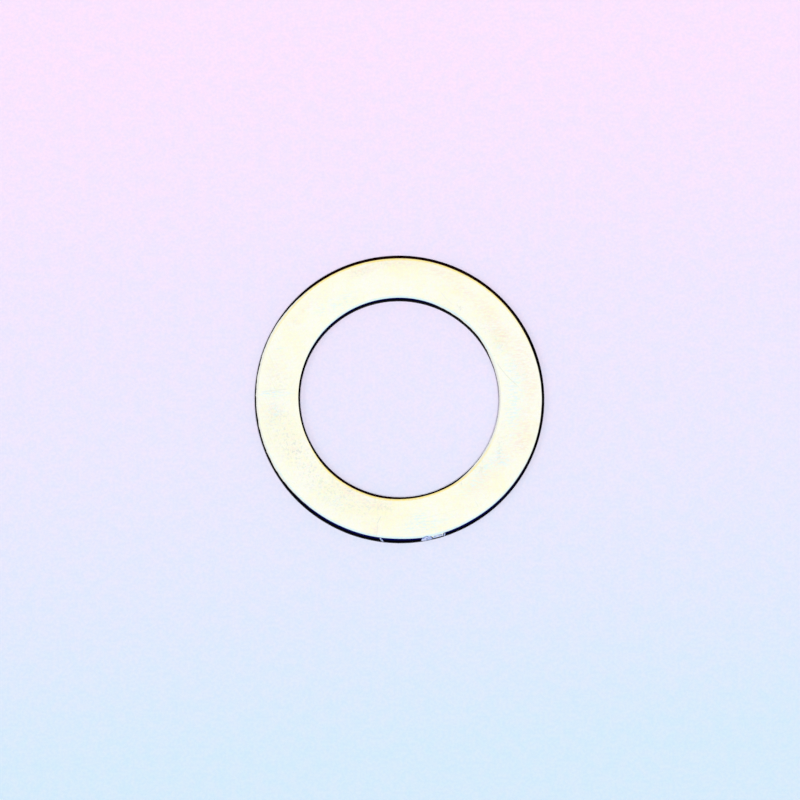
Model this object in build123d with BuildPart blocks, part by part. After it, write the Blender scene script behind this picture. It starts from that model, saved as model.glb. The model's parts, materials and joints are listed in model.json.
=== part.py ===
from build123d import *
import os
from math import cos, radians, sin, tan

# Shim ring, nominal 22 x 32 x 1.3: a flat spacing ring, pierced and blanked in one stroke from
# cold-rolled steel strip. Both edges are cut in the same direction, so the top face has the
# rolled edges and the bottom face has the burr side. Millimetres and degrees.
# The origin is the centre of the bottom face, and +Z is the ring's axis.

# Overall sizes, all on nominal. The shaft and the housing are what is made with the clearance.
BORE_DIAMETER = 22.0
OUTER_DIAMETER = 32.0
THICKNESS = 1.3

# The cut edge, from the rolled face down: a rolled corner that leaves the face smoothly and meets
# the wall at a crease, a smooth sheared land, and a torn fracture zone that leans back.
RIM_ROLL_WIDTH = 0.33
RIM_ROLL_DEPTH = 0.20
RIM_LAND_HEIGHT = 0.46
BORE_ROLL_WIDTH = 0.21
BORE_ROLL_DEPTH = 0.13
BORE_LAND_HEIGHT = 0.54
FRACTURE_LEAN = 2.5

# Tumbling takes the burr off and leaves this small radius round the bottom corners.
BURR_SIDE_RADIUS = 0.05

# Damage on the rim. Each mark is what a round bar leaves when it is pressed across the top
# corner: (bearing about the axis from +X, bar radius, depth below the sharp corner, slope of the
# bar below the top face, turn of the bar about the direction it is pressed in). The bar reaches
# past the mark at both ends.
RIM_MARKS = {
    "nick": (262.8, 0.09, 0.24, 45.0, 38.0),
    "bruise": (280.8, 0.85, 0.38, 60.0, 0.0),
    "scuff": (285.4, 4.30, 0.17, 35.0, 0.0),
    "notch": (288.1, 0.08, 0.22, 50.0, -15.0),
}
BAR_REACH = 1.5


def blanked_edge(wall, into_metal, roll_width, roll_depth, land_height):
    """Draw one cut edge from the bottom face to the top face.

    wall is the radius of the sheared land, and into_metal is -1 where the metal lies towards
    the axis and +1 where it lies away from it. Returns the radii at which the bottom and the
    top face start.
    """
    land_top = THICKNESS - roll_depth
    fracture_top = land_top - land_height
    lean_back = into_metal * (fracture_top - BURR_SIDE_RADIUS) * tan(radians(FRACTURE_LEAN))
    bottom_start = wall + lean_back + into_metal * BURR_SIDE_RADIUS
    top_start = wall + into_metal * roll_width

    RadiusArc(
        (bottom_start, 0),
        (wall + lean_back, BURR_SIDE_RADIUS),
        into_metal * BURR_SIDE_RADIUS,
    )
    Line((wall + lean_back, BURR_SIDE_RADIUS), (wall, fracture_top))
    Line((wall, fracture_top), (wall, land_top))
    TangentArc((top_start, THICKNESS), (wall, land_top), tangent=(-into_metal, 0))
    return bottom_start, top_start


def press_mark(bearing, bar_radius, depth, slope, turn):
    """Cut the trough that a round bar leaves across the top corner of the rim."""
    outward = Vector(cos(radians(bearing)), sin(radians(bearing)), 0)
    up = Vector(0, 0, 1)
    pressed_from = outward * sin(radians(slope)) + up * cos(radians(slope))
    along_bar = outward * cos(radians(slope)) - up * sin(radians(slope))
    along_bar = along_bar.rotate(Axis((0, 0, 0), pressed_from), turn)
    corner = outward * (OUTER_DIAMETER / 2) + up * THICKNESS
    bar_centre = corner + pressed_from * (bar_radius - depth)
    with BuildSketch(Plane(origin=bar_centre, z_dir=along_bar)) as bar_section:
        Circle(bar_radius)
    extrude(bar_section.sketch, amount=BAR_REACH, both=True, mode=Mode.SUBTRACT)


with BuildPart() as shim_ring:
    with BuildSketch(Plane.XZ) as section:
        with BuildLine():
            rim_bottom, rim_top = blanked_edge(
                OUTER_DIAMETER / 2, -1, RIM_ROLL_WIDTH, RIM_ROLL_DEPTH, RIM_LAND_HEIGHT
            )
            bore_bottom, bore_top = blanked_edge(
                BORE_DIAMETER / 2, 1, BORE_ROLL_WIDTH, BORE_ROLL_DEPTH, BORE_LAND_HEIGHT
            )
            Line((bore_bottom, 0), (rim_bottom, 0))
            Line((bore_top, THICKNESS), (rim_top, THICKNESS))
        make_face()
    revolve(axis=Axis.Z)
    for mark in RIM_MARKS.values():
        press_mark(*mark)
shim_ring.part.label = "shim_ring"

os.makedirs("parts", exist_ok=True)
export_step(shim_ring.part, "parts/shim_ring.step")
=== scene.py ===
"""Looks of a shim ring that was pierced and blanked in one stroke from cold-rolled steel strip.

The whole ring is one closed grid: the section that the press leaves, carried round the axis. The
top face has the rolled corners and the mill finish, the edges have a sheared land over a torn
fracture zone, and the underside is the burr side. Lengths in the classes are millimetres and
angles are degrees, measured about the axis from +X. Blender's own units are metres.
"""

import json
import logging
from dataclasses import dataclass, fields
from enum import Enum, IntEnum

import bpy
import numpy as np
from mathutils import Matrix, Vector


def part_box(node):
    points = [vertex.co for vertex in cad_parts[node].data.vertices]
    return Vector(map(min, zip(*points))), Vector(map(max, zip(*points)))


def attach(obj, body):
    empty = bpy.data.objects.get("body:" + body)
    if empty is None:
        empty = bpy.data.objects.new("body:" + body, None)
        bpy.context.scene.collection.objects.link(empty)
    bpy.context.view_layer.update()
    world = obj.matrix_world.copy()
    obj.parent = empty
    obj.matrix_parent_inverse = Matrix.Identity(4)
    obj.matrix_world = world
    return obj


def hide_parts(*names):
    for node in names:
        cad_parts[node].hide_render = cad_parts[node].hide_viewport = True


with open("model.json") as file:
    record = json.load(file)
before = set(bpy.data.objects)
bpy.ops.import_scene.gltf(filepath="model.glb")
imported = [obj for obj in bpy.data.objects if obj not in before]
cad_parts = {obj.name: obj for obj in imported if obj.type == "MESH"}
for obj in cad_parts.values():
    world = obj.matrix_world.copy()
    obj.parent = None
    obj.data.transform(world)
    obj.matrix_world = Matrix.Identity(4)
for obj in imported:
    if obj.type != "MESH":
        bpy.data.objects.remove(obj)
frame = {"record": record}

MM = 0.001
RING_NODE = "shim_ring"
TURN = 2.0 * np.pi
log = logging.getLogger("shim_ring")

Colour = tuple[float, float, float, float]
Socket = bpy.types.NodeSocket

# How much of the light a metal throws back when it is seen steeply.
# The first is painted shade: it blacks out the cut edge's sheen, so the edge shows as a black line
# from above.
SHADE_SHEEN: Colour = (0.0, 0.0, 0.0, 1.0)
BRIGHT_SHEEN: Colour = (0.8, 0.8, 0.8, 1.0)


def linear(red: float, green: float, blue: float) -> Colour:
    """Turn display values from 0 to 255 into the linear colour that a shader takes.

    Args:
        red: Red as a display shows it.
        green: Green as a display shows it.
        blue: Blue as a display shows it.

    Returns:
        The linear colour, with an alpha of 1.
    """
    shown = np.array([red, green, blue]) / 255.0
    curved = ((shown + 0.055) / 1.055) ** 2.4
    return (*np.where(shown <= 0.04045, shown / 12.92, curved).tolist(), 1.0)


def smooth_step(values: np.ndarray, start: float, end: float) -> np.ndarray:
    """Rise from 0 at start to 1 at end along the cubic 3t^2 - 2t^3.

    Args:
        values: Where the step is read.
        start: The value at which it leaves 0.
        end: The value at which it reaches 1.

    Returns:
        The height of the step at each value.
    """
    share = np.clip((values - start) / (end - start), 0.0, 1.0)
    return share * share * (3.0 - 2.0 * share)


def turn_between(bearings: np.ndarray, centre: float) -> np.ndarray:
    """Angle from each bearing to centre the short way round, in degrees and never negative."""
    return np.abs((bearings - centre + 180.0) % 360.0 - 180.0)


def direction(bearing: float, elevation: float) -> Vector:
    """Unit vector towards a bearing about Z and an elevation above the floor.

    Args:
        bearing: Bearing from +X, in degrees.
        elevation: Elevation, in degrees.

    Returns:
        The vector (cos e cos b, cos e sin b, sin e).
    """
    around, up = np.radians([bearing, elevation])
    level = np.cos(up)
    across, along = level * np.cos(around), level * np.sin(around)
    return Vector((float(across), float(along), float(np.sin(up))))


def add_object(name: str, data: bpy.types.ID) -> bpy.types.Object:
    """Add an object to the scene."""
    added = bpy.data.objects.new(name, data)
    bpy.context.scene.collection.objects.link(added)
    return added


class Zone(IntEnum):
    """Where each zone of a cut edge ends, counted down the section from the top face."""

    FACE = 0
    ROLL = 1
    LAND = 2
    FRACTURE = 3
    BURR = 4


class Slot(IntEnum):
    """Places of the three finishes in the ring's list of materials."""

    TOP = 0
    EDGE = 1
    UNDERSIDE = 2


class Mottle(Enum):
    """What discolours the top face, each held in a point attribute of this name."""

    RUST = "rust"
    STRAW = "straw"
    BLUING = "bluing"
    SOIL = "soil"


@dataclass(frozen=True)
class Ripple:
    """An uneven line that closes on itself round the ring, made of seeded cosine waves.

    The value at a bearing is the sum over the waves of cos(count * bearing + phase + tilt *
    height), divided by the square root of half their number, so that its spread is about 1.
    """

    seed: int
    fewest: int
    most: int
    waves: int = 24
    tilt: float = 0.0

    def along(self, bearings: np.ndarray, heights: np.ndarray | float = 0.0) -> np.ndarray:
        """Work out the ripple.

        Args:
            bearings: Bearings in degrees, of any shape.
            heights: Heights in millimetres, which shift the waves by up to tilt radians each.

        Returns:
            The ripple at each place, about -2 to 2.
        """
        draw = np.random.default_rng(self.seed)
        counts = draw.integers(self.fewest, self.most + 1, self.waves)
        phases = draw.uniform(0.0, TURN, self.waves)
        tilts = draw.uniform(-self.tilt, self.tilt, self.waves)
        angles = np.radians(bearings)[..., None] * counts + phases
        angles = angles + np.asarray(heights)[..., None] * tilts
        return np.cos(angles).sum(axis=-1) / np.sqrt(self.waves / 2.0)


@dataclass(frozen=True)
class Stretch:
    """A stretch of an edge, at its full share inside half_width and fading out past it."""

    bearing: float
    half_width: float
    fade: float
    share: float

    def along(self, bearings: np.ndarray) -> np.ndarray:
        """The share at each bearing."""
        away = turn_between(bearings, self.bearing)
        return self.share * (1.0 - smooth_step(away, self.half_width, self.half_width + self.fade))


def strongest_of(stretches: tuple[Stretch, ...], bearings: np.ndarray) -> np.ndarray:
    """The largest share that any of the stretches has at each bearing."""
    return np.max([stretch.along(bearings) for stretch in stretches], axis=0)


@dataclass(frozen=True)
class Strip:
    """A run of section rows, with one value for each row and bearing.

    place counts the zones down the section, and the field after it is how far down it a painted
    highlight reaches. facing is 1 at an edge that faces +Y and -1 at one that faces -Y.
    """

    radius: np.ndarray
    height: np.ndarray
    place: np.ndarray
    rub: np.ndarray
    facing: np.ndarray

    def flipped(self) -> "Strip":
        """The same rows in the other order."""
        return Strip(*(getattr(self, field.name)[::-1] for field in fields(self)))

    @staticmethod
    def joined(runs: tuple["Strip", ...]) -> "Strip":
        """All rows of some strips, one strip after the other."""
        return Strip(*(np.concatenate([getattr(run, f.name) for run in runs]) for f in fields(Strip)))


@dataclass(frozen=True)
class CutEdge:
    """One cut edge, from the rolled face down to the burr side."""

    wall: float
    into_metal: int
    roll_width: float
    roll_depth: float
    land_height: float
    thickness: float
    seed: int
    rubbed: tuple[Stretch, ...]
    widened: tuple[Stretch, ...]
    fracture_lean: float = 2.5
    burr_radius: float = 0.05
    roll_waviness: float = 0.035
    border_waviness: float = 0.028
    tear_depth: float = 0.012
    roll_rows: int = 10
    land_rows: int = 8
    fracture_rows: int = 9
    burr_rows: int = 3

    def strip(self, bearings: np.ndarray) -> Strip:
        """Carry the edge's section round the axis.

        The roll is a circular arc that leaves the face level and meets the wall at a crease. An
        arc of width w and depth d has the radius (w^2 + d^2) / 2d. It is wider where the gap
        between punch and die was. The land is straight, at the wall's radius. The fracture leans
        back into the metal from a ragged border, and is torn by up to twice tear_depth, fading
        out at both its ends. The burr side ends in a quarter round. Nothing stands out past the
        wall.

        Args:
            bearings: The bearings of the columns, in degrees.

        Returns:
            The strip from the top face's border to the underside's border.
        """
        swell = 1.0 + self.roll_waviness * Ripple(self.seed, 2, 14).along(bearings)
        swell = swell + strongest_of(self.widened, bearings)
        width, depth = self.roll_width * swell, self.roll_depth * swell
        land_top = self.thickness - depth
        border = Ripple(self.seed + 1, 5, 60).along(bearings)
        fracture_top = self.thickness - self.roll_depth - self.land_height
        fracture_top = fracture_top + self.border_waviness * border
        metal = float(self.into_metal)

        arc_radius = (width**2 + depth**2) / (2.0 * depth)
        sweep = np.linspace(0.0, 1.0, self.roll_rows + 1)[:, None] * np.arcsin(width / arc_radius)
        roll_r = self.wall + metal * (width - arc_radius * np.sin(sweep))
        roll_z = self.thickness - arc_radius * (1.0 - np.cos(sweep))

        down = np.linspace(0.0, 1.0, self.land_rows + 1)[1:, None]
        land_z = land_top + down * (fracture_top - land_top)
        land_r = np.full_like(land_z, self.wall)

        down = np.linspace(0.0, 1.0, self.fracture_rows + 1)[1:, None]
        torn_z = fracture_top + down * (self.burr_radius - fracture_top)
        grid_bearings = np.broadcast_to(bearings, torn_z.shape)
        tear = Ripple(self.seed + 2, 40, 260, waves=40, tilt=14.0).along(grid_bearings, torn_z)
        tear = self.tear_depth * np.clip(0.8 + tear, 0.0, 2.0) * np.sin(np.pi * down) ** 0.6
        slope = np.tan(np.radians(self.fracture_lean))
        torn_r = self.wall + metal * ((fracture_top - torn_z) * slope + tear)

        turn = np.linspace(0.0, 1.0, self.burr_rows + 1)[1:, None] * np.pi / 2.0
        burr_r = torn_r[-1] + metal * self.burr_radius * (1.0 - np.cos(turn))
        burr_z = self.burr_radius * (1.0 - np.sin(turn)) + np.zeros_like(burr_r)

        radius = np.concatenate([roll_r, land_r, torn_r, burr_r])
        height = np.concatenate([roll_z, land_z, torn_z, burr_z])
        zones = enumerate(self.rows())
        steps = [np.linspace(zone, zone + 1, count + 1)[1:] for zone, count in zones]
        place = np.concatenate([[float(Zone.FACE)], *steps])[:, None]
        # How far down the section the painted highlight reaches at each bearing.
        rub = strongest_of(self.rubbed, bearings)
        spread = (np.broadcast_to(v, radius.shape) for v in (place, rub, self.facing(bearings)))
        return Strip(radius, height, *spread)

    def rows(self) -> tuple[int, int, int, int]:
        """Count the rows of the roll, the land, the fracture and the burr side."""
        return self.roll_rows, self.land_rows, self.fracture_rows, self.burr_rows

    def facing(self, bearings: np.ndarray) -> np.ndarray:
        """Y of the direction that the wall faces."""
        return -float(self.into_metal) * np.sin(np.radians(bearings))


@dataclass(frozen=True)
class PressMark:
    """The trough that a round bar leaves when it is pressed across the rim's top corner.

    It carries a painted glint as far down the section as its depth limit, which counts zones,
    and fully so where the surface has moved by its full-move distance.
    """

    bearing: float
    bar_radius: float
    depth: float
    slope: float
    turn: float
    bared_down: float = float(Zone.BURR)
    bared_by: float = 0.012

    def press(self, points: np.ndarray, corner_radius: float, corner_height: float) -> np.ndarray:
        """Push the surface down onto the far side of the bar.

        With x across the bar and y back along the line it is pressed from, both from the bar's
        axis, a point with |x| under the bar's radius R and y over -sqrt(R^2 - x^2) moves to
        that y. Points that the bar doesn't reach stay where they are.

        Args:
            points: Points of the ring's surface, in millimetres, as an array of (..., 3).
            corner_radius: Radius of the sharp corner that the mark's depth is measured from.
            corner_height: Height of that corner.

        Returns:
            How far each point moves, as an array of (..., 3).
        """
        bearing, slope, turn = np.radians([self.bearing, self.slope, self.turn])
        outward = np.array([np.cos(bearing), np.sin(bearing), 0.0])
        up = np.array([0.0, 0.0, 1.0])
        pressed_from = outward * np.sin(slope) + up * np.cos(slope)
        along_bar = outward * np.cos(slope) - up * np.sin(slope)
        along_bar = along_bar * np.cos(turn) + np.cross(pressed_from, along_bar) * np.sin(turn)
        across_bar = np.cross(along_bar, pressed_from)
        corner = outward * corner_radius + up * corner_height
        axis = corner + pressed_from * (self.bar_radius - self.depth)
        x = (points - axis) @ across_bar
        y = (points - axis) @ pressed_from
        floor = -np.sqrt(np.maximum(self.bar_radius**2 - x**2, 0.0))
        reached = (np.abs(x) < self.bar_radius) & (y > floor) & (points @ outward > 0.0)
        return np.where(reached, floor - y, 0.0)[..., None] * pressed_from

    def bared(self, moved: np.ndarray, place: np.ndarray) -> np.ndarray:
        """Painted glint share: moved / full-move distance, up to 1, and 0 past the depth limit.

        Args:
            moved: How far each point moves, as an array of (..., 3).
            place: How far down the section each point lies.

        Returns:
            The share at each point.
        """
        pressed = np.clip(np.linalg.norm(moved, axis=-1) / self.bared_by, 0.0, 1.0)
        return np.where(place <= self.bared_down, pressed, 0.0)


@dataclass(frozen=True)
class Stain:
    """A soft-edged patch on the top face. It is longest along turn, measured from +X."""

    bearing: float
    radius: float
    length: float
    width: float
    turn: float
    strength: float

    def cover(self, x: np.ndarray, y: np.ndarray) -> np.ndarray:
        """Strength of the patch: strength * exp(-(u^2 + v^2)), where u and v count half-lengths.

        Args:
            x: The surface's x, in millimetres.
            y: The surface's y, in millimetres.

        Returns:
            The patch's strength at each point.
        """
        bearing, turn = np.radians([self.bearing, self.turn])
        dx = x - self.radius * np.cos(bearing)
        dy = y - self.radius * np.sin(bearing)
        along = (dx * np.cos(turn) + dy * np.sin(turn)) / (self.length / 2.0)
        across = (dy * np.cos(turn) - dx * np.sin(turn)) / (self.width / 2.0)
        return self.strength * np.exp(-(along**2 + across**2))


@dataclass(frozen=True)
class Scratch:
    """A thin line on the top face between two places, bowed to its left by bow."""

    start: tuple[float, float]
    end: tuple[float, float]
    width: float
    bow: float = 0.0
    strength: float = 1.0

    @staticmethod
    def spot(place: tuple[float, float]) -> Vector:
        """The point at a (bearing, radius), in millimetres."""
        bearing, radius = np.radians(place[0]), place[1]
        return Vector((radius * np.cos(bearing), radius * np.sin(bearing), 0.0))


class NodeDesk:
    """Adds and joins the nodes of one material or world."""

    def __init__(self, tree: bpy.types.NodeTree) -> None:
        """Start with an empty tree.

        Args:
            tree: The node tree that is worked on.
        """
        self.tree = tree
        tree.nodes.clear()

    def feed(self, socket: Socket, value: object) -> None:
        """Link value to the socket if it is a socket itself, and otherwise store it there.

        Args:
            socket: The input that is fed.
            value: An output socket, or a number, vector or colour.
        """
        if isinstance(value, Socket):
            self.tree.links.new(value, socket)
        else:
            socket.default_value = value

    def add(self, kind: str, inputs: dict | None = None, **settings: object) -> bpy.types.Node:
        """Add one node.

        Args:
            kind: The node's type, without its ShaderNode prefix.
            inputs: What goes to each input, by its name or number.
            **settings: The node's own settings.

        Returns:
            The new node.
        """
        node = self.tree.nodes.new("ShaderNode" + kind)
        for name, value in settings.items():
            setattr(node, name, value)
        for name, value in (inputs or {}).items():
            self.feed(node.inputs[name], value)
        return node

    def maths(self, operation: str, *values: object) -> Socket:
        """Combine numbers with one Math operation."""
        return self.add("Math", dict(enumerate(values)), operation=operation).outputs[0]

    def times(self, first: object, second: object) -> Socket:
        """Multiply two numbers."""
        return self.maths("MULTIPLY", first, second)

    def shifted(self, value: object, noise: Socket, reach: float) -> Socket:
        """Shift a number by reach times what the noise is over a half."""
        return self.maths("MULTIPLY_ADD", self.maths("SUBTRACT", noise, 0.5), reach, value)

    def attribute(self, name: str) -> Socket:
        """Read a number that the mesh holds at each point."""
        return self.add("Attribute", attribute_name=name).outputs["Fac"]

    def millimetres(self) -> Socket:
        """Read the piece's own coordinates.

        Returns:
            The coordinates, in millimetres.
        """
        own = self.add("TexCoord").outputs["Object"]
        scaled = self.add("VectorMath", {0: own, "Scale": 1.0 / MM}, operation="SCALE")
        return scaled.outputs[0]

    def measured(
        self,
        place: Socket,
        size: tuple[float, float, float],
        turn: float = 0.0,
        origin: tuple[float, float, float] = (0.0, 0.0, 0.0),
    ) -> Socket:
        """Read a place in other axes, moved to an origin, turned about Z and counted in sizes.

        Args:
            place: The place to read.
            size: What counts as 1 along each turned axis.
            turn: Direction of the first turned axis, in degrees from +X.
            origin: Where the turned axes start.

        Returns:
            The place in the turned axes.
        """
        inputs = {
            "Vector": place,
            "Location": origin,
            "Rotation": (0.0, 0.0, float(np.radians(turn))),
            "Scale": size,
        }
        return self.add("Mapping", inputs, vector_type="TEXTURE").outputs[0]

    def noise(
        self, place: Socket, grain: float, detail: float = 2.0, rough: float = 0.5
    ) -> Socket:
        """Cloudy noise from 0 to 1, mostly near a half.

        Args:
            place: Where the noise is read.
            grain: How many grains there are to one unit of place.
            detail: How many finer layers it has.
            rough: How strong each finer layer is beside the one before.

        Returns:
            The noise.
        """
        inputs = {"Vector": place, "Scale": grain, "Detail": detail, "Roughness": rough}
        return self.add("TexNoise", inputs).outputs[0]

    def step(
        self, value: object, start: float, end: float, low: float = 0.0, high: float = 1.0
    ) -> Socket:
        """Rise smoothly from low to high as value goes from start to end.

        Args:
            value: The number that is read.
            start: Where the rise starts.
            end: Where the rise ends.
            low: The result before start.
            high: The result after end.

        Returns:
            The result.
        """
        inputs = {"Value": value, "From Min": start, "From Max": end, "To Min": low, "To Max": high}
        return self.add("MapRange", inputs, interpolation_type="SMOOTHSTEP").outputs[0]

    def blend(self, share: object, first: object, second: object, how: str = "MIX") -> Socket:
        """Go from the first colour to the second by share.

        Args:
            share: How much of the second there is, from 0 to 1.
            first: The colour at 0.
            second: The colour that comes in.
            how: Blender's blend type.

        Returns:
            The colour.
        """
        node = self.add("Mix", data_type="RGBA", blend_type=how)
        for number, value in ((0, share), (6, first), (7, second)):
            self.feed(node.inputs[number], value)
        return node.outputs[2]

    def chain(self, operation: str, *values: object) -> Socket:
        """Carry one Math operation along some numbers, from the first to the last.

        Args:
            operation: The operation, which takes two numbers.
            *values: Output sockets or numbers.

        Returns:
            The last result.
        """
        result = values[0]
        for value in values[1:]:
            result = self.maths(operation, result, value)
        return result

    def metal(
        self, colour: Socket, rough: Socket, height: Socket, relief: float, sheen: object
    ) -> None:
        """Finish the material as bare metal.

        Args:
            colour: Its colour.
            rough: Its roughness.
            height: Height of its surface, in units of relief.
            relief: Millimetres to one unit of height.
            sheen: Its sheen.
        """
        bump = self.add("Bump", {"Height": height, "Distance": relief * MM})
        inputs = {
            "Base Color": colour,
            "Metallic": 1.0,
            "Roughness": rough,
            "Normal": bump.outputs[0],
            "Specular Tint": sheen,
        }
        shader = self.add("BsdfPrincipled", inputs)
        self.add("OutputMaterial", {"Surface": shader.outputs[0]})

    def scratch(self, place: Socket, scratch: Scratch) -> Socket:
        """Mask of one scratch, 1 on its line and 0 away from it.

        With u from 0 at its start to 1 at its end and v across it in half-widths, the line is
        where v = 4 * bow * u * (1 - u), and it thins out towards both ends.

        Args:
            place: The surface's place, in millimetres.
            scratch: The scratch.

        Returns:
            The mask, times the scratch's strength.
        """
        start, end = scratch.spot(scratch.start), scratch.spot(scratch.end)
        run = end - start
        half = scratch.width / 2.0
        turn = float(np.degrees(np.arctan2(run.y, run.x)))
        local = self.measured(place, (run.length, half, 1.0), turn, tuple(start))
        split = self.add("SeparateXYZ", {0: local})
        u, v = split.outputs[0], split.outputs[1]
        belly = self.times(u, self.maths("SUBTRACT", 1.0, u))
        bowed = self.maths("SUBTRACT", v, self.times(belly, 4.0 * scratch.bow / half))
        line = self.step(self.maths("ABSOLUTE", bowed), 0.4, 1.0, 1.0, 0.0)
        taper = self.step(belly, 0.0, 0.12, 0.0, scratch.strength)
        return self.times(line, taper)


def new_material(name: str) -> tuple[bpy.types.Material, NodeDesk]:
    """Make a material whose nodes are still to be laid out."""
    material = bpy.data.materials.new(name)
    material.use_nodes = True
    return material, NodeDesk(material.node_tree)


@dataclass(frozen=True)
class MillFinish:
    """Cold-rolled steel strip: satin, warm white, with fine rolling lines and a mottled film."""

    name: str
    clean: Colour
    cool: Colour
    warm: Colour
    straw: Colour
    soil: Colour
    blued: Colour
    rust: Colour
    far_tint: Colour
    near_tint: Colour
    roughness: float = 0.34
    rolling_turn: float = 4.0
    speckle: float = 1.0
    line_height: float = 0.0016
    scratches: tuple[Scratch, ...] = ()
    scored_turn: float = -66.0
    scored_edge: float = -14.0
    scored_strength: float = 0.0

    def make(self) -> bpy.types.Material:
        """Lay out the finish's nodes.

        Returns:
            The material.
        """
        material, desk = new_material(self.name)
        place = desk.millimetres()
        lines = desk.noise(desk.measured(place, (3.2, 0.075, 1.0), self.rolling_turn), 1.0, 3.0)
        cloud = desk.noise(place, 0.34, 3.0, 0.6)
        grain = desk.noise(place, 3.1, 3.0, 0.62)
        pale_grain = desk.noise(desk.measured(place, (1.6, 0.7, 1.0), 12.0), 2.3, 3.0, 0.6)

        colour = self.film(desk, place, cloud, grain, pale_grain)
        marks = self.marks(desk, place)
        colour = desk.blend(desk.times(marks, 0.75), colour, self.soil)
        scored = self.scored(desk, place)
        streak = desk.step(lines, 0.3, 0.7, 0.992, 1.012)
        streak = desk.maths("SUBTRACT", streak, desk.times(scored, 0.035))
        haze = desk.step(desk.noise(place, 2.4, 4.0, 0.7), 0.3, 0.7, 0.955, 1.085)
        blush = desk.step(desk.noise(place, 2.9, 4.0, 0.7), 0.3, 0.7, 1.032, 0.988)
        green, blue = desk.times(streak, blush), desk.times(streak, haze)
        tone = desk.add("CombineXYZ", {0: streak, 1: green, 2: blue}).outputs[0]
        colour = desk.blend(1.0, colour, tone, "MULTIPLY")

        rough = desk.chain(
            "ADD",
            desk.step(lines, 0.25, 0.75, self.roughness - 0.05, self.roughness + 0.05),
            desk.step(cloud, 0.3, 0.7, -0.03, 0.05),
            desk.times(desk.attribute(Mottle.SOIL.value), 0.1),
        )
        height = desk.chain(
            "ADD",
            lines,
            desk.times(grain, 0.7),
            desk.times(marks, -2.2),
            desk.times(scored, -0.8),
        )
        desk.metal(colour, rough, height, self.line_height, BRIGHT_SHEEN)
        return material

    def film(
        self, desk: NodeDesk, place: Socket, cloud: Socket, grain: Socket, pale_grain: Socket
    ) -> Socket:
        """Colour of the oily film: clean metal, freckled cool and warm, and stained in places.

        A stain covers depth * attribute * (soft + (1 - soft) * flecks), where the flecks are the
        high or the low parts of a noise: short strokes along the strip for rust and bluing, and
        dots for soil, with rust between them. The face is tinted beside an edge: straw where
        the edge faces +Y and blue where it faces -Y.

        Args:
            desk: The material's node desk.
            place: The surface's place, in millimetres.
            cloud: Noise with features of a few millimetres.
            grain: Noise with features of a third of a millimetre.
            pale_grain: Noise that is a little longer one way than the other.

        Returns:
            The colour.
        """
        fine = desk.noise(place, 5.2, 2.0, 0.6)
        colour = desk.blend(desk.step(cloud, 0.38, 0.66, 0.0, 0.55), self.clean, self.straw)
        cool = desk.step(pale_grain, 0.5, 0.72, 0.0, 0.55 * self.speckle)
        colour = desk.blend(cool, colour, self.cool)
        warm = desk.step(fine, 0.5, 0.7, 0.0, 0.5 * self.speckle)
        colour = desk.blend(warm, colour, self.warm)
        strokes = desk.measured(place, (0.52, 0.17, 1.0), self.rolling_turn)
        stroke = desk.noise(strokes, 1.0, 3.0, 0.6)
        dots = desk.noise(place, 3.6, 2.0, 0.6)
        # Kind, tint, noise, where the flecks start and are full, share under them, full cover.
        for mottle, tint, noise, start, full, soft, depth in (
            (Mottle.STRAW, self.straw, cloud, 0.35, 0.60, 0.55, 1.00),
            (Mottle.RUST, self.rust, stroke, 0.56, 0.42, 0.18, 1.00),
            (Mottle.BLUING, self.blued, stroke, 0.48, 0.60, 0.10, 1.25),
            (Mottle.SOIL, self.rust, dots, 0.47, 0.38, 0.00, 0.70),
            (Mottle.SOIL, self.soil, dots, 0.53, 0.62, 0.03, 1.10),
        ):
            flecks = desk.step(noise, start, full, soft * depth, depth)
            cover = desk.times(desk.attribute(mottle.value), flecks)
            colour = desk.blend(desk.maths("MINIMUM", cover, 1.0), colour, tint)
        facing = desk.attribute("facing")
        uneven = desk.step(grain, 0.3, 0.6, 0.5, 1.0)
        for side, tint in ((1.0, self.far_tint), (-1.0, self.near_tint)):
            border = desk.step(desk.times(facing, side), 0.08, 0.75, 0.0, 0.9)
            colour = desk.blend(desk.times(border, uneven), colour, tint)
        return colour

    def marks(self, desk: NodeDesk, place: Socket) -> object:
        """Mask of all the scratches, or 0 where there are none."""
        masks = [desk.scratch(place, scratch) for scratch in self.scratches]
        return desk.chain("MAXIMUM", *masks) if masks else 0.0

    def scored(self, desk: NodeDesk, place: Socket) -> Socket:
        """Mask of the fine slanting lines where the strip was dragged, left of scored_edge.

        Args:
            desk: The material's node desk.
            place: The surface's place, in millimetres.

        Returns:
            The mask.
        """
        slanted = desk.measured(place, (4.0, 0.12, 1.0), self.scored_turn)
        drag = desk.step(desk.noise(slanted, 1.0, 2.0, 0.5), 0.54, 0.68)
        split = desk.add("SeparateXYZ", {0: place})
        low, high = self.scored_edge - 3.0, self.scored_edge + 3.0
        window = desk.step(split.outputs[0], low, high, self.scored_strength, 0.0)
        return desk.times(drag, window)


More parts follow.
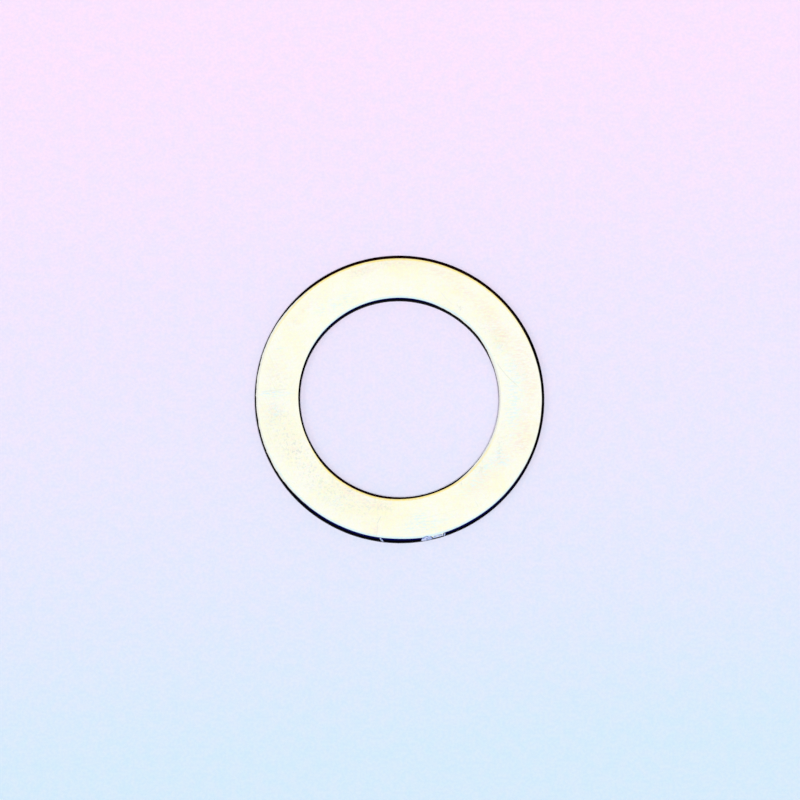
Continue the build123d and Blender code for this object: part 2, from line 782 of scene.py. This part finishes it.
@dataclass(frozen=True)
class CutFinish:
    """The cut edges: a rolled corner in painted shade, a streaked land, a torn zone, and painted
    highlights and glints.

    The sheen is blacked out as painted shade, and bright on the painted highlights and glints.
    """

    name: str = "cut_edge_steel"
    roll_near: Colour = linear(6, 14, 104)
    roll_far: Colour = linear(44, 12, 6)
    # Painted shade: the roll is near black.
    roll: Colour = linear(7, 6, 8)
    land: Colour = linear(118, 117, 114)
    land_streak: Colour = linear(82, 81, 80)
    torn: Colour = linear(84, 83, 82)
    torn_pit: Colour = linear(44, 43, 43)
    burr: Colour = linear(176, 175, 168)
    # Painted highlight, mostly of a lamp on the left.
    worn: Colour = linear(240, 241, 232)
    # Painted glint in the press marks, with dimmer patches and pits.
    bared: Colour = linear(226, 230, 250)
    bared_shade: Colour = linear(176, 196, 234)
    bared_pit: Colour = linear(84, 116, 160)
    relief: float = 0.006

    def make(self) -> bpy.types.Material:
        """Lay out the finish's nodes.

        Returns:
            The material.
        """
        material, desk = new_material(self.name)
        place = desk.millimetres()
        down = desk.attribute("place")
        streaks = desk.noise(desk.measured(place, (0.09, 0.09, 1.4)), 1.0, 3.0, 0.6)
        grit = desk.noise(place, 9.0, 3.0, 0.65)
        patches = desk.noise(place, 1.5, 3.0, 0.6)

        colour = self.rolled_corner(desk, down)
        land = desk.blend(desk.step(streaks, 0.35, 0.7), self.land, self.land_streak)
        colour = desk.blend(desk.step(down, 0.97, 1.06), colour, land)
        ragged = desk.shifted(down, grit, 0.35)
        torn = desk.blend(desk.step(grit, 0.35, 0.65), self.torn_pit, self.torn)
        is_torn = desk.step(ragged, 1.97, 2.03)
        colour = desk.blend(is_torn, colour, torn)
        colour = desk.blend(desk.step(down, 2.98, 3.2), colour, self.burr)

        # Painted highlight, mostly of a lamp on the left.
        worn = self.worn_share(desk, down, patches, grit)
        colour = desk.blend(worn, colour, self.worn)
        # Painted glint in the press marks.
        bare = desk.attribute("bare")
        pits = desk.step(desk.noise(place, 4.6, 1.0, 0.5), 0.6, 0.68)
        bared = desk.blend(desk.step(patches, 0.4, 0.6), self.bared, self.bared_shade)
        bared = desk.blend(pits, bared, self.bared_pit)
        is_glint = desk.step(bare, 0.15, 0.75)
        colour = desk.blend(is_glint, colour, bared)
        shine = desk.maths("MAXIMUM", worn, is_glint)

        rough = desk.blend(is_torn, (0.30, 0.30, 0.30, 1.0), (0.62, 0.62, 0.62, 1.0))
        rough = desk.maths("ADD", rough, desk.step(streaks, 0.3, 0.7, -0.05, 0.08))
        height = desk.maths(
            "ADD",
            desk.times(streaks, desk.step(down, 0.9, 1.2, 0.25, 1.0)),
            desk.times(grit, desk.step(is_torn, 0.0, 1.0, 0.25, 2.6)),
        )
        # Painted shade: the edge throws back nothing seen steeply, except on the painted highlight
        # and glint.
        sheen = desk.blend(shine, SHADE_SHEEN, BRIGHT_SHEEN)
        desk.metal(colour, rough, height, self.relief, sheen)
        return material

    def rolled_corner(self, desk: NodeDesk, down: Socket) -> Socket:
        """Colour of the roll: near black as painted shade, with a heat tint beside the face.

        The tint is blue where the edge faces -Y and brown where it faces +Y, and fades out
        halfway down the roll.

        Args:
            desk: The material's node desk.
            down: How far down the section the surface lies.

        Returns:
            The colour.
        """
        beside_face = desk.step(down, 0.0, 0.55, 1.0, 0.0)
        # Near black painted shade on the roll.
        colour = self.roll
        for side, tint in ((-1.0, self.roll_near), (1.0, self.roll_far)):
            turned = desk.step(desk.times(desk.attribute("facing"), side), 0.3, 0.9)
            colour = desk.blend(desk.times(turned, beside_face), colour, tint)
        return colour

    def worn_share(self, desk: NodeDesk, down: Socket, patches: Socket, grit: Socket) -> Socket:
        """Share of painted highlight, which reaches down from the face by its reach attribute.

        The reach is that attribute, times 1 give or take what the two noises add, so there is no
        highlight where it is 0.

        Args:
            desk: The material's node desk.
            down: How far down the section the surface lies.
            patches: Noise with features of most of a millimetre, which breaks the border up.
            grit: Noise with features of a tenth of a millimetre.

        Returns:
            The share, from 0 to 1.
        """
        uneven = desk.shifted(1.0, patches, 1.1)
        uneven = desk.shifted(uneven, grit, 0.35)
        reach = desk.times(desk.attribute("rub"), uneven)
        return desk.step(desk.maths("SUBTRACT", reach, down), 0.0, 0.1)


@dataclass
class ShimRing:
    """The ring as one closed grid, with its damage, its stains and its three finishes."""

    outer_radius: float
    bore_radius: float
    thickness: float
    damage: tuple[float, float] = (258.0, 292.0)
    plain_columns: int = 545
    damage_columns: int = 430
    top_rows: int = 26
    bottom_rows: int = 7
    tint_reach: float = 0.20
    sharp_angle: float = 22.0
    bake_cells: int = 3

    marks: tuple[PressMark, ...] = (
        PressMark(262.8, 0.09, 0.24, 45.0, 38.0),
        PressMark(280.8, 0.85, 0.38, 60.0, 0.0),
        PressMark(285.4, 4.30, 0.17, 35.0, 0.0, bared_down=0.8),
        PressMark(288.1, 0.08, 0.22, 50.0, -15.0),
    )
    # Stretches of the rim that carry a painted highlight, mostly of a lamp on the left, and a glint
    # beside a press mark.
    rim_rubbed: tuple[Stretch, ...] = (
        Stretch(166.0, 8.0, 40.0, 0.60),
        Stretch(196.0, 6.0, 44.0, 0.46),
        Stretch(346.0, 14.0, 36.0, 0.12),
        Stretch(285.3, 1.9, 0.9, 0.50),
    )
    rim_widened: tuple[Stretch, ...] = (
        Stretch(65.0, 45.0, 30.0, 0.05),
        Stretch(258.0, 8.0, 14.0, 0.12),
    )
    # Stretches of the bore that carry a painted highlight of a lamp on the left.
    bore_rubbed: tuple[Stretch, ...] = (
        Stretch(354.0, 16.0, 44.0, 1.15),
        Stretch(6.0, 8.0, 30.0, 1.35),
        Stretch(48.0, 8.0, 20.0, 0.40),
    )
    bore_widened: tuple[Stretch, ...] = (
        Stretch(239.0, 14.0, 22.0, 0.38),
        Stretch(112.0, 26.0, 30.0, 0.16),
    )

    def edges(self) -> tuple[CutEdge, CutEdge]:
        """Describe both cut edges.

        Returns:
            The rim's edge and the bore's edge.
        """
        rim = CutEdge(
            wall=self.outer_radius,
            into_metal=-1,
            roll_width=0.33,
            roll_depth=0.20,
            land_height=0.46,
            thickness=self.thickness,
            seed=11,
            rubbed=self.rim_rubbed,
            widened=self.rim_widened,
        )
        bore = CutEdge(
            wall=self.bore_radius,
            into_metal=1,
            roll_width=0.21,
            roll_depth=0.13,
            land_height=0.54,
            thickness=self.thickness,
            seed=23,
            rubbed=self.bore_rubbed,
            widened=self.bore_widened,
            roll_rows=8,
        )
        return rim, bore

    def bearings(self) -> np.ndarray:
        """Bearings of the columns, close together where the rim is damaged.

        Returns:
            Bearings in degrees, rising, with none at both ends of the turn.
        """
        low, high = self.damage
        fine = np.linspace(low, high, self.damage_columns, endpoint=False)
        plain = np.linspace(high, low + 360.0, self.plain_columns, endpoint=False)
        return np.concatenate([fine, plain])

    def face_rows(self, bore: np.ndarray, rim: np.ndarray, count: int, crowding: float) -> np.ndarray:
        """Radii of the rows between two borders, closer together towards both.

        Row t of the way lies at bore + (rim - bore) * (t - crowding * sin(2 pi t) / 2 pi).

        Args:
            bore: Radius of the border beside the bore, at each bearing.
            rim: Radius of the border beside the rim, at each bearing.
            count: How many rows lie between them.
            crowding: 0 for even rows, and nearly 1 for rows that bunch up at the borders.

        Returns:
            The radii, one row for each step outward.
        """
        t = np.linspace(0.0, 1.0, count + 2)[1:-1]
        t = t - crowding * np.sin(TURN * t) / TURN
        return bore + t[:, None] * (rim - bore)

    def section(self, bearings: np.ndarray) -> Strip:
        """Go once round the section: up the rim, in over the top, down the bore, out below.

        On the top face, facing is that of each edge times exp(-(d / tint_reach)^2), where d is
        the distance to the edge's roll.

        Args:
            bearings: The bearings of the columns, in degrees.

        Returns:
            The closed loop of rows. The last row is followed by the first.
        """
        rim, bore = (edge.strip(bearings) for edge in self.edges())
        top_r = self.face_rows(bore.radius[0], rim.radius[0], self.top_rows, 0.72)[::-1]
        low_r = self.face_rows(bore.radius[-1], rim.radius[-1], self.bottom_rows, 0.3)
        none_top, none_low = np.zeros_like(top_r), np.zeros_like(low_r)
        near_rim = np.exp(-(((rim.radius[0] - top_r) / self.tint_reach) ** 2))
        near_bore = np.exp(-(((top_r - bore.radius[0]) / self.tint_reach) ** 2))
        facing = near_rim * rim.facing[0] + near_bore * bore.facing[0]
        level = none_top + self.thickness
        top = Strip(top_r, level, none_top + float(Zone.FACE), none_top, facing)
        low = Strip(low_r, none_low, none_low + float(Zone.BURR), none_low, none_low)
        return Strip.joined((rim.flipped(), top, bore, low))

    def finish_of_rows(self) -> np.ndarray:
        """List the finish that each band of faces takes.

        Returns:
            One slot number for each band, in the order of the section.
        """
        rim_bands, bore_bands = (sum(edge.rows()) for edge in self.edges())
        counts = (
            (Slot.EDGE, rim_bands),
            (Slot.TOP, self.top_rows + 1),
            (Slot.EDGE, bore_bands),
            (Slot.UNDERSIDE, self.bottom_rows + 1),
        )
        return np.concatenate([np.full(count, int(slot)) for slot, count in counts])

    def build(self, stains: dict[Mottle, tuple[Stain, ...]]) -> bpy.types.Object:
        """Make the ring's mesh.

        A point at bearing b and radius r lies at (r cos b, r sin b). Each face joins two rows
        and two columns, both closed, and faces outward.

        Args:
            stains: The patches of each kind of discolouring on the top face.

        Returns:
            The ring's object.
        """
        bearings = self.bearings()
        loop = self.section(bearings)
        turn = np.radians(bearings)
        across = (loop.radius * np.cos(turn), loop.radius * np.sin(turn), loop.height)
        points = np.stack(across, axis=-1)
        # The press marks dent the surface; how far it moved sets the share of painted glint.
        bare = np.zeros_like(loop.radius)
        for mark in self.marks:
            moved = mark.press(points, self.outer_radius, self.thickness)
            points = points + moved
            bare = np.maximum(bare, mark.bared(moved, loop.place))

        rows, columns = loop.radius.shape
        row, column = np.indices((rows, columns))
        next_row, next_column = (row + 1) % rows, (column + 1) % columns
        corners = [(row, column), (row, next_column), (next_row, next_column), (next_row, column)]
        faces = np.stack([r * columns + c for r, c in corners], axis=-1).reshape(-1, 4)

        mesh = bpy.data.meshes.new("shim_ring_surface")
        mesh.from_pydata((points * MM).reshape(-1, 3).tolist(), [], faces.tolist())
        finishes = np.repeat(self.finish_of_rows(), columns)
        mesh.polygons.foreach_set("material_index", finishes.astype(np.int32))
        mesh.polygons.foreach_set("use_smooth", np.ones(len(faces), bool))
        self.hold(mesh, "place", loop.place)
        # Reach of the edge's painted highlight.
        self.hold(mesh, "rub", loop.rub)
        self.hold(mesh, "facing", loop.facing)
        # Share of the painted glint in the press marks.
        self.hold(mesh, "bare", bare)
        on_top = (loop.place == float(Zone.FACE)).astype(float)
        for mottle, patches in stains.items():
            covers = [patch.cover(points[..., 0], points[..., 1]) for patch in patches]
            self.hold(mesh, mottle.value, on_top * (1.0 - np.prod(1.0 - np.array(covers), axis=0)))
        self.lay_flat(mesh, points, rows, columns)
        mesh.update()
        mesh.set_sharp_from_angle(angle=float(np.radians(self.sharp_angle)))
        ring = add_object("shim_ring_finished", mesh)
        log.info("ring: %d rows by %d columns, %d quads", rows, columns, len(faces))
        return ring

    @staticmethod
    def hold(mesh: bpy.types.Mesh, name: str, values: np.ndarray) -> None:
        """Store one number at each point of the mesh."""
        made = mesh.attributes.new(name, "FLOAT", "POINT")
        made.data.foreach_set("value", np.ascontiguousarray(values, np.float32).ravel())

    def lay_flat(self, mesh: bpy.types.Mesh, points: np.ndarray, rows: int, columns: int) -> None:
        """Give the mesh a map: the turn is cut into equal arcs, and each fills a square cell.

        In its cell, u is the share of the arc's bearings and v is the share of the way round
        the section, by length.

        Args:
            mesh: The ring's mesh.
            points: Its points by row and column, in millimetres.
            rows: How many rows there are.
            columns: How many columns there are.
        """
        cells = self.bake_cells
        steps = np.linalg.norm(np.roll(points, -1, axis=0) - points, axis=-1).mean(axis=1)
        v = np.concatenate([[0.0], np.cumsum(steps)]) / steps.sum()
        share = (self.bearings() - self.damage[0]) / 360.0
        arc = np.minimum((share * cells**2).astype(int), cells**2 - 1)
        u = np.concatenate([share, [1.0]]) * cells**2
        row, column = np.indices((rows, columns))
        inset, room = 0.012, 0.976
        corners = []
        for down, along in ((0, 0), (0, 1), (1, 1), (1, 0)):
            in_cell = np.clip(u[column + along] - arc[column], 0.0, 1.0)
            corner_u = (arc[column] % cells + inset + room * in_cell) / cells
            corner_v = (arc[column] // cells + inset + room * v[row + down]) / cells
            corners.append(np.stack([corner_u, corner_v], axis=-1))
        flat = np.stack(corners, axis=2).astype(np.float32)
        layer = mesh.uv_layers.new(name="OFBake")
        layer.uv.foreach_set("vector", flat.ravel())

    def dress(self, ring: bpy.types.Object, finishes: dict[Slot, bpy.types.Material]) -> None:
        """Give the ring its finishes and its place in the frame.

        Args:
            ring: The ring's object.
            finishes: The material for each slot.
        """
        for slot in Slot:
            ring.data.materials.append(finishes[slot])
        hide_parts(RING_NODE)
        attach(ring, "root")


STAINS: dict[Mottle, tuple[Stain, ...]] = {
    Mottle.RUST: (
        Stain(90.0, 15.2, 5.0, 0.9, 0.0, 0.70),
        Stain(105.0, 14.9, 3.6, 1.0, 16.0, 0.75),
        Stain(72.0, 14.8, 4.6, 1.2, -18.0, 0.60),
        Stain(58.0, 13.9, 4.0, 1.3, -34.0, 0.55),
        Stain(45.0, 13.7, 3.4, 1.6, -48.0, 0.55),
        Stain(34.0, 13.2, 3.0, 1.6, -62.0, 0.70),
        Stain(31.5, 13.5, 1.5, 0.6, 58.0, 1.00),
        Stain(20.0, 14.2, 4.2, 2.2, -70.0, 0.60),
        Stain(6.0, 14.6, 4.0, 1.8, -84.0, 0.60),
        Stain(350.0, 14.0, 4.0, 2.4, 80.0, 0.45),
        Stain(341.0, 14.2, 3.4, 1.9, 66.0, 0.65),
        Stain(338.0, 15.0, 0.7, 0.5, 0.0, 0.90),
        Stain(330.0, 13.3, 3.0, 1.6, 50.0, 0.45),
        Stain(314.0, 12.9, 4.4, 2.0, 40.0, 0.50),
        Stain(258.0, 12.1, 2.8, 0.9, -6.0, 0.60),
        Stain(259.6, 14.9, 0.6, 1.4, 0.0, 0.75),
        Stain(243.0, 11.8, 3.6, 0.9, -28.0, 0.70),
        Stain(186.0, 14.2, 2.0, 1.8, 0.0, 0.40),
        Stain(168.0, 14.2, 3.0, 2.0, 80.0, 0.30),
        Stain(135.0, 14.4, 2.6, 1.0, 42.0, 0.35),
        Stain(143.5, 14.3, 0.8, 0.5, -20.0, 0.70),
    ),
    Mottle.STRAW: (
        Stain(90.0, 14.6, 10.0, 2.4, 0.0, 0.62),
        Stain(62.0, 13.4, 2.0, 0.9, -28.0, 1.00),
        Stain(52.0, 14.3, 6.0, 2.0, -40.0, 0.50),
        Stain(31.0, 12.7, 1.6, 1.3, 50.0, 1.00),
        Stain(118.0, 15.0, 4.0, 1.2, 30.0, 0.45),
        Stain(342.0, 14.9, 2.6, 1.2, 72.0, 0.45),
        Stain(322.0, 14.6, 5.0, 1.8, 52.0, 0.50),
        Stain(300.0, 12.8, 5.0, 2.2, 30.0, 0.45),
        Stain(262.0, 13.0, 6.0, 3.0, -4.0, 0.80),
        Stain(242.0, 12.6, 6.0, 2.4, -26.0, 0.75),
        Stain(224.0, 11.9, 4.0, 1.2, -46.0, 0.45),
    ),
    Mottle.BLUING: (
        Stain(279.0, 13.3, 1.8, 1.1, 30.0, 0.60),
        Stain(282.0, 14.4, 3.0, 1.4, 8.0, 0.75),
        Stain(275.0, 14.4, 2.2, 1.2, 0.0, 0.50),
        Stain(292.0, 14.2, 1.6, 0.8, 10.0, 0.45),
        Stain(331.0, 12.5, 1.5, 0.9, 80.0, 0.95),
        Stain(328.0, 13.4, 1.8, 1.0, 30.0, 0.80),
        Stain(320.0, 12.0, 3.4, 1.4, 42.0, 0.65),
        Stain(310.0, 12.5, 3.0, 1.2, 34.0, 0.55),
        Stain(351.0, 12.6, 4.0, 1.8, 80.0, 0.55),
        Stain(4.0, 12.7, 3.8, 2.0, 90.0, 0.60),
        Stain(14.0, 12.8, 3.0, 1.4, -70.0, 0.65),
        Stain(29.0, 12.3, 2.2, 1.0, -60.0, 0.45),
        Stain(121.0, 12.4, 3.0, 1.6, 34.0, 0.60),
        Stain(131.0, 13.2, 2.0, 1.2, 40.0, 0.35),
        Stain(178.0, 13.9, 3.6, 0.8, 0.0, 0.80),
        Stain(188.0, 13.9, 3.0, 2.0, 90.0, 0.50),
        Stain(158.0, 14.4, 0.7, 0.6, 0.0, 0.80),
        Stain(236.0, 13.3, 4.0, 2.0, -34.0, 0.35),
    ),
    Mottle.SOIL: (
        Stain(190.0, 13.6, 4.2, 3.2, 88.0, 0.36),
        Stain(204.0, 13.0, 4.4, 2.8, -62.0, 0.52),
        Stain(207.0, 12.7, 1.8, 1.4, -58.0, 0.40),
        Stain(220.0, 12.8, 5.0, 2.8, -50.0, 0.46),
        Stain(238.0, 12.8, 5.4, 3.2, -34.0, 0.42),
        Stain(241.5, 11.7, 1.8, 0.6, -30.0, 0.60),
        Stain(254.0, 12.8, 4.0, 3.0, -14.0, 0.30),
        Stain(262.0, 12.0, 2.6, 1.2, -8.0, 0.45),
        Stain(172.0, 13.4, 3.0, 2.6, 86.0, 0.26),
        Stain(56.8, 12.1, 0.8, 0.4, -38.0, 0.90),
        Stain(44.9, 12.4, 0.5, 0.4, 0.0, 0.80),
        Stain(40.0, 12.4, 2.0, 1.2, -40.0, 0.50),
        Stain(29.0, 12.6, 2.4, 1.2, -60.0, 0.50),
        Stain(24.7, 11.6, 0.4, 0.3, 0.0, 0.90),
        Stain(14.0, 13.6, 2.6, 1.4, -60.0, 0.40),
        Stain(345.7, 11.7, 0.5, 0.4, 20.0, 1.00),
        Stain(338.0, 12.3, 2.0, 1.2, 60.0, 0.45),
        Stain(330.3, 12.6, 1.3, 0.7, 78.0, 0.70),
        Stain(320.0, 11.9, 2.6, 1.2, 46.0, 0.40),
        Stain(305.3, 11.6, 0.5, 0.3, -50.0, 0.90),
        Stain(96.0, 15.1, 4.6, 0.8, 4.0, 0.40),
        Stain(107.0, 14.7, 2.0, 0.8, 18.0, 0.50),
        Stain(144.0, 14.2, 0.7, 0.4, -20.0, 0.40),
    ),
}

SCRATCHES = (
    Scratch((21.0, 11.45), (5.8, 13.25), 0.11, -0.16, 0.85),
    Scratch((69.3, 12.8), (60.5, 12.0), 0.10, -0.10, 0.40),
    Scratch((261.0, 13.25), (259.7, 14.2), 0.13, 0.03, 0.85),
    Scratch((259.8, 14.1), (260.5, 15.7), 0.12, 0.05, 0.55),
    Scratch((253.3, 12.7), (257.8, 12.35), 0.12, 0.02, 0.60),
    Scratch((177.9, 15.2), (175.5, 12.4), 0.16, 0.05, 0.42),
    Scratch((306.1, 14.1), (305.6, 14.9), 0.12, 0.02, 0.45),
    Scratch((299.0, 13.9), (281.5, 13.5), 0.09, 0.10, 0.18),
)

TOP_FINISH = MillFinish(
    name="rolled_face_steel",
    clean=linear(255, 255, 241),
    cool=linear(247, 253, 239),
    warm=linear(253, 247, 229),
    straw=linear(255, 252, 218),
    soil=linear(226, 230, 222),
    blued=linear(232, 250, 250),
    rust=linear(252, 236, 220),
    far_tint=linear(255, 232, 130),
    near_tint=linear(212, 244, 255),
    scratches=SCRATCHES,
    scored_edge=-12.5,
    scored_strength=1.0,
)

UNDERSIDE_FINISH = MillFinish(
    name="burr_side_steel",
    clean=linear(246, 245, 232),
    cool=linear(232, 238, 232),
    warm=linear(242, 234, 220),
    straw=linear(246, 242, 216),
    soil=linear(206, 205, 200),
    blued=linear(218, 234, 236),
    rust=linear(236, 220, 204),
    far_tint=linear(246, 242, 216),
    near_tint=linear(218, 234, 236),
    roughness=0.4,
    speckle=1.3,
    line_height=0.0022,
)


@dataclass(frozen=True)
class Backdrop:
    """The pale paper that the ring lies on, shaded from one tint to another across it."""

    half_width: float = 4000.0
    cells: int = 8
    tints: tuple[tuple[float, Colour], ...] = (
        (-38.5, linear(215.6, 236.0, 252.1)),
        (-22.4, linear(226.9, 234.0, 253.7)),
        (-7.7, linear(234.6, 232.8, 254.3)),
        (12.3, linear(240.4, 231.2, 254.6)),
        (22.2, linear(245.2, 230.3, 254.6)),
        (38.5, linear(250.4, 228.8, 254.6)),
    )

    def build(self, height: float) -> bpy.types.Object:
        """Make the sheet of paper: x and y run evenly over a square grid, at one height.

        Args:
            height: Height of the paper, in metres.

        Returns:
            The paper's object.
        """
        side = np.linspace(-self.half_width, self.half_width, self.cells + 1) * MM
        x, y = np.meshgrid(side, side, indexing="xy")
        points = np.stack([x, y, np.full_like(x, height)], axis=-1).reshape(-1, 3)
        row, column = np.indices((self.cells, self.cells))
        first = row * (self.cells + 1) + column
        above = first + self.cells + 1
        faces = np.stack([first, first + 1, above + 1, above], axis=-1).reshape(-1, 4)
        mesh = bpy.data.meshes.new("paper_surface")
        mesh.from_pydata(points.tolist(), [], faces.tolist())
        paper = add_object("paper", mesh)
        mesh.materials.append(self.material())
        return paper

    def material(self) -> bpy.types.Material:
        """The paper's finish: a row of tints from near to far, blotched, with a faint tooth.

        Returns:
            The material.
        """
        material, desk = new_material("tinted_paper")
        place = desk.millimetres()
        split = desk.add("SeparateXYZ", {0: place})
        drift = desk.noise(place, 0.16, 2.0)
        y = desk.shifted(split.outputs[1], drift, 3.0)
        shifted = desk.maths("MULTIPLY_ADD", split.outputs[0], -0.055, y)
        low, high = self.tints[0][0], self.tints[-1][0]
        share = desk.add("MapRange", {"Value": shifted, "From Min": low, "From Max": high})
        ramp = desk.add("ValToRGB", {"Fac": share.outputs[0]})
        stops = ramp.color_ramp.elements
        stops[0].color, stops[1].color = self.tints[0][1], self.tints[-1][1]
        for distance, tint in self.tints[1:-1]:
            stops.new((distance - low) / (high - low)).color = tint
        blotch = desk.step(desk.noise(place, 0.75, 3.0, 0.65), 0.3, 0.7, 0.965, 1.035)
        tooth = desk.step(desk.noise(place, 3.0, 2.0), 0.3, 0.7, 0.982, 1.018)
        red = desk.times(blotch, tooth)
        tones = desk.add("CombineXYZ", {0: red, 1: tooth, 2: 1.0}).outputs[0]
        colour = desk.blend(1.0, ramp.outputs[0], tones, "MULTIPLY")
        shader = desk.add(
            "BsdfPrincipled",
            {"Base Color": colour, "Roughness": 0.9, "Specular IOR Level": 0.0},
        )
        desk.add("OutputMaterial", {"Surface": shader.outputs[0]})
        return material


@dataclass(frozen=True)
class SoftLamp:
    """A distant soft lamp that stands for a large diffuser."""

    name: str
    share: float
    azimuth: float
    elevation: float
    angle: float

    def hang(self) -> bpy.types.Object:
        """Add the lamp so that it gives the floor its share of full light.

        Full light is an irradiance of pi, at which a white floor shows as 1. A floor takes the
        sine of the elevation of what a distant lamp sends.

        Returns:
            The lamp's object.
        """
        towards = direction(self.azimuth, self.elevation)
        data = bpy.data.lights.new(self.name, "SUN")
        data.energy = self.share * float(np.pi) / towards.z
        data.angle = float(np.radians(self.angle))
        lamp = add_object(self.name, data)
        lamp.rotation_mode = "QUATERNION"
        lamp.rotation_quaternion = towards.to_track_quat("Z", "Y")
        lamp.location = towards * 0.5
        lamp.visible_glossy = False
        return lamp


@dataclass(frozen=True)
class Studio:
    """A bright tent with soft overhead light, and a long lens that looks almost straight down."""

    ambient_share: float = 0.12
    horizon: float = 0.80
    zenith: float = 1.0
    camera_bearing: float = 255.0
    camera_elevation: float = 81.7
    camera_distance: float = 613.4
    lens: float = 250.0
    sensor: float = 36.0
    aim: tuple[float, float] = (0.026, -0.194)
    lamps: tuple[SoftLamp, ...] = (
        SoftLamp("overhead_diffuser", 0.80, 270.0, 83.0, 14.0),
        SoftLamp("side_diffuser", 0.08, 200.0, 62.0, 20.0),
    )

    def tent(self) -> bpy.types.World:
        """Make the tent, which looks white and gives the floor only a share of its light.

        Rays from the camera, and those that metal or glass throws on, see the walls of the
        tent: horizon below the level of the floor, and zenith from two fifths of the way up.

        Returns:
            The world.
        """
        world = bpy.data.worlds.new("tent")
        world.use_nodes = True
        desk = NodeDesk(world.node_tree)
        look = desk.add("TexCoord").outputs["Generated"]
        upward = desk.add("SeparateXYZ", {0: look}).outputs[2]
        level = desk.step(upward, -0.05, 0.40, self.horizon, self.zenith)
        walls = desk.add("Background", {"Color": (1.0, 1.0, 1.0, 1.0), "Strength": level})
        ambient = desk.add(
            "Background", {"Color": (1.0, 1.0, 1.0, 1.0), "Strength": self.ambient_share}
        )
        path = desk.add("LightPath")
        seen = desk.chain(
            "MAXIMUM",
            path.outputs["Is Camera Ray"],
            path.outputs["Is Glossy Ray"],
            path.outputs["Is Transmission Ray"],
        )
        both = desk.add("MixShader", {0: seen, 1: ambient.outputs[0], 2: walls.outputs[0]})
        desk.add("OutputWorld", {"Surface": both.outputs[0]})
        bpy.context.scene.world = world
        return world

    def camera(self, centre: Vector) -> bpy.types.Object:
        """Set the camera up, in front of the ring and almost over it, with +Y straight up.

        Args:
            centre: Centre of the ring's top face, in metres.

        Returns:
            The camera's object.
        """
        data = bpy.data.cameras.new("long_lens")
        data.lens, data.sensor_width = self.lens, self.sensor
        data.clip_start, data.clip_end = 0.01, 20.0
        camera = add_object("long_lens", data)
        back = direction(self.camera_bearing, self.camera_elevation)
        right = Vector((0.0, 1.0, 0.0)).cross(back).normalized()
        axes = Matrix((right, back.cross(right), back)).transposed()
        aim = centre + Vector((self.aim[0], self.aim[1], 0.0)) * MM
        camera.location = aim + back * self.camera_distance * MM
        camera.rotation_mode = "QUATERNION"
        camera.rotation_quaternion = axes.to_quaternion()
        bpy.context.scene.camera = camera
        return camera


def bore_radius_of(record: dict) -> float:
    """Radius of the record's bore mount, in millimetres."""
    mounts = {mount["name"]: mount for mount in record["mounts"]}
    return float(mounts["bore"]["dims"]["r_mm"])


def main() -> None:
    """Build the ring, the paper, the lamps and the camera in order."""
    logging.basicConfig(level=logging.INFO, format="%(name)s: %(message)s")
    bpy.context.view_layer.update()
    low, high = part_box(RING_NODE)

    ring = ShimRing(
        outer_radius=(high.x - low.x) / 2.0 / MM,
        bore_radius=bore_radius_of(frame["record"]),
        thickness=(high.z - low.z) / MM,
    )
    surface = ring.build(STAINS)
    finishes = {
        Slot.TOP: TOP_FINISH.make(),
        Slot.EDGE: CutFinish().make(),
        Slot.UNDERSIDE: UNDERSIDE_FINISH.make(),
    }
    ring.dress(surface, finishes)
    log.info("finishes: %s", ", ".join(material.name for material in finishes.values()))

    paper = Backdrop().build(low.z)
    log.info("backdrop: %s", paper.name)

    studio = Studio()
    studio.tent()
    for lamp in studio.lamps:
        log.info("lamp: %s", lamp.hang().name)
    centre = Vector(((low.x + high.x) / 2.0, (low.y + high.y) / 2.0, high.z))
    log.info("camera: %s", studio.camera(centre).name)

    bpy.context.scene.view_settings.view_transform = "Standard"


if __name__ == "__main__":
    main()
